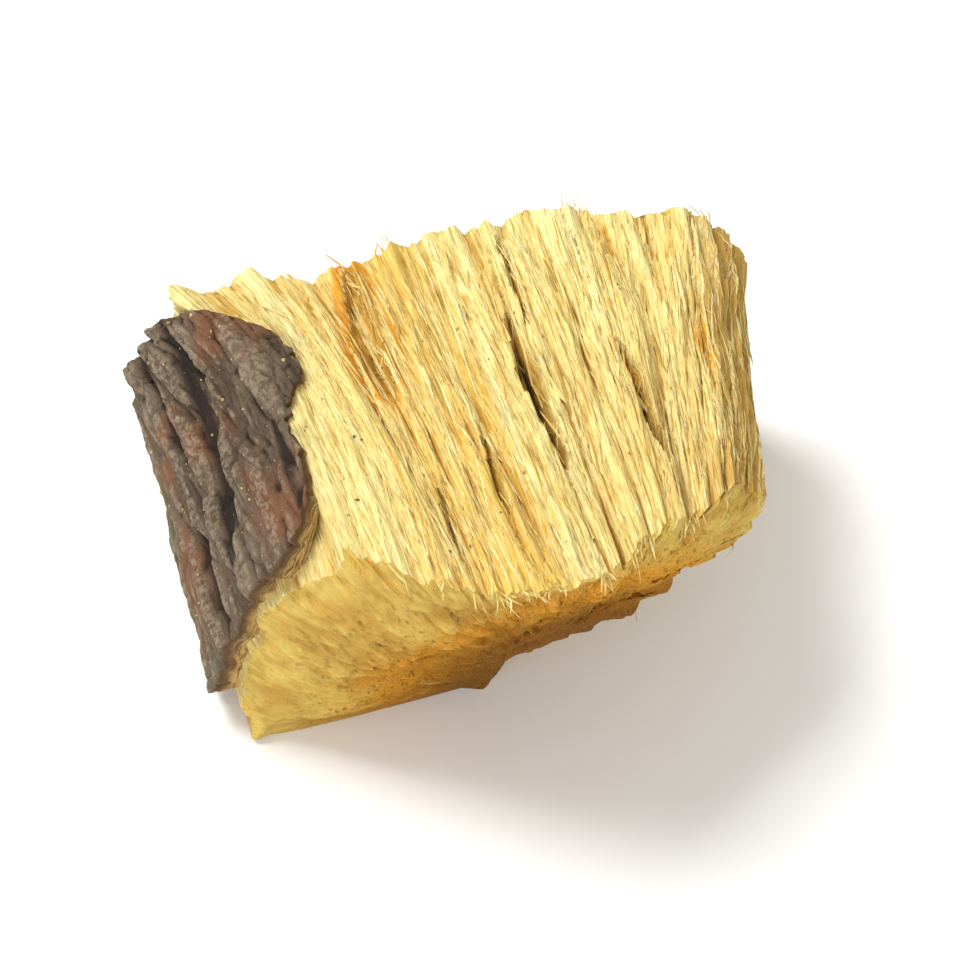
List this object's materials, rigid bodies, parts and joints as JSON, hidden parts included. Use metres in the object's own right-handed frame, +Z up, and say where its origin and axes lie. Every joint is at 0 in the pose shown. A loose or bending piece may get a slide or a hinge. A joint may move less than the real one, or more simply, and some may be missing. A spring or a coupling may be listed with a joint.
{
  "type": "licorice root piece",
  "caption": "Chopped chunk of dried licorice root: yellow fibrous wood split along the grain, cut across at both ends, with wrinkled brown bark on one side.",
  "frame": {"origin": "centre of the bounding box at the height of the flat underside", "axes": "+Z up from the flat underside to the split top face, +X across the root towards the side without bark, +Y along the grain"},
  "size_m": [0.0102, 0.0078, 0.0052],
  "materials": {
    "wood": "matt split fibrous root wood",
    "bark": "matt wrinkled dry bark"
  },
  "bodies": {
    "root": {"licorice_root": "wood"}
  },
  "joints": []
}
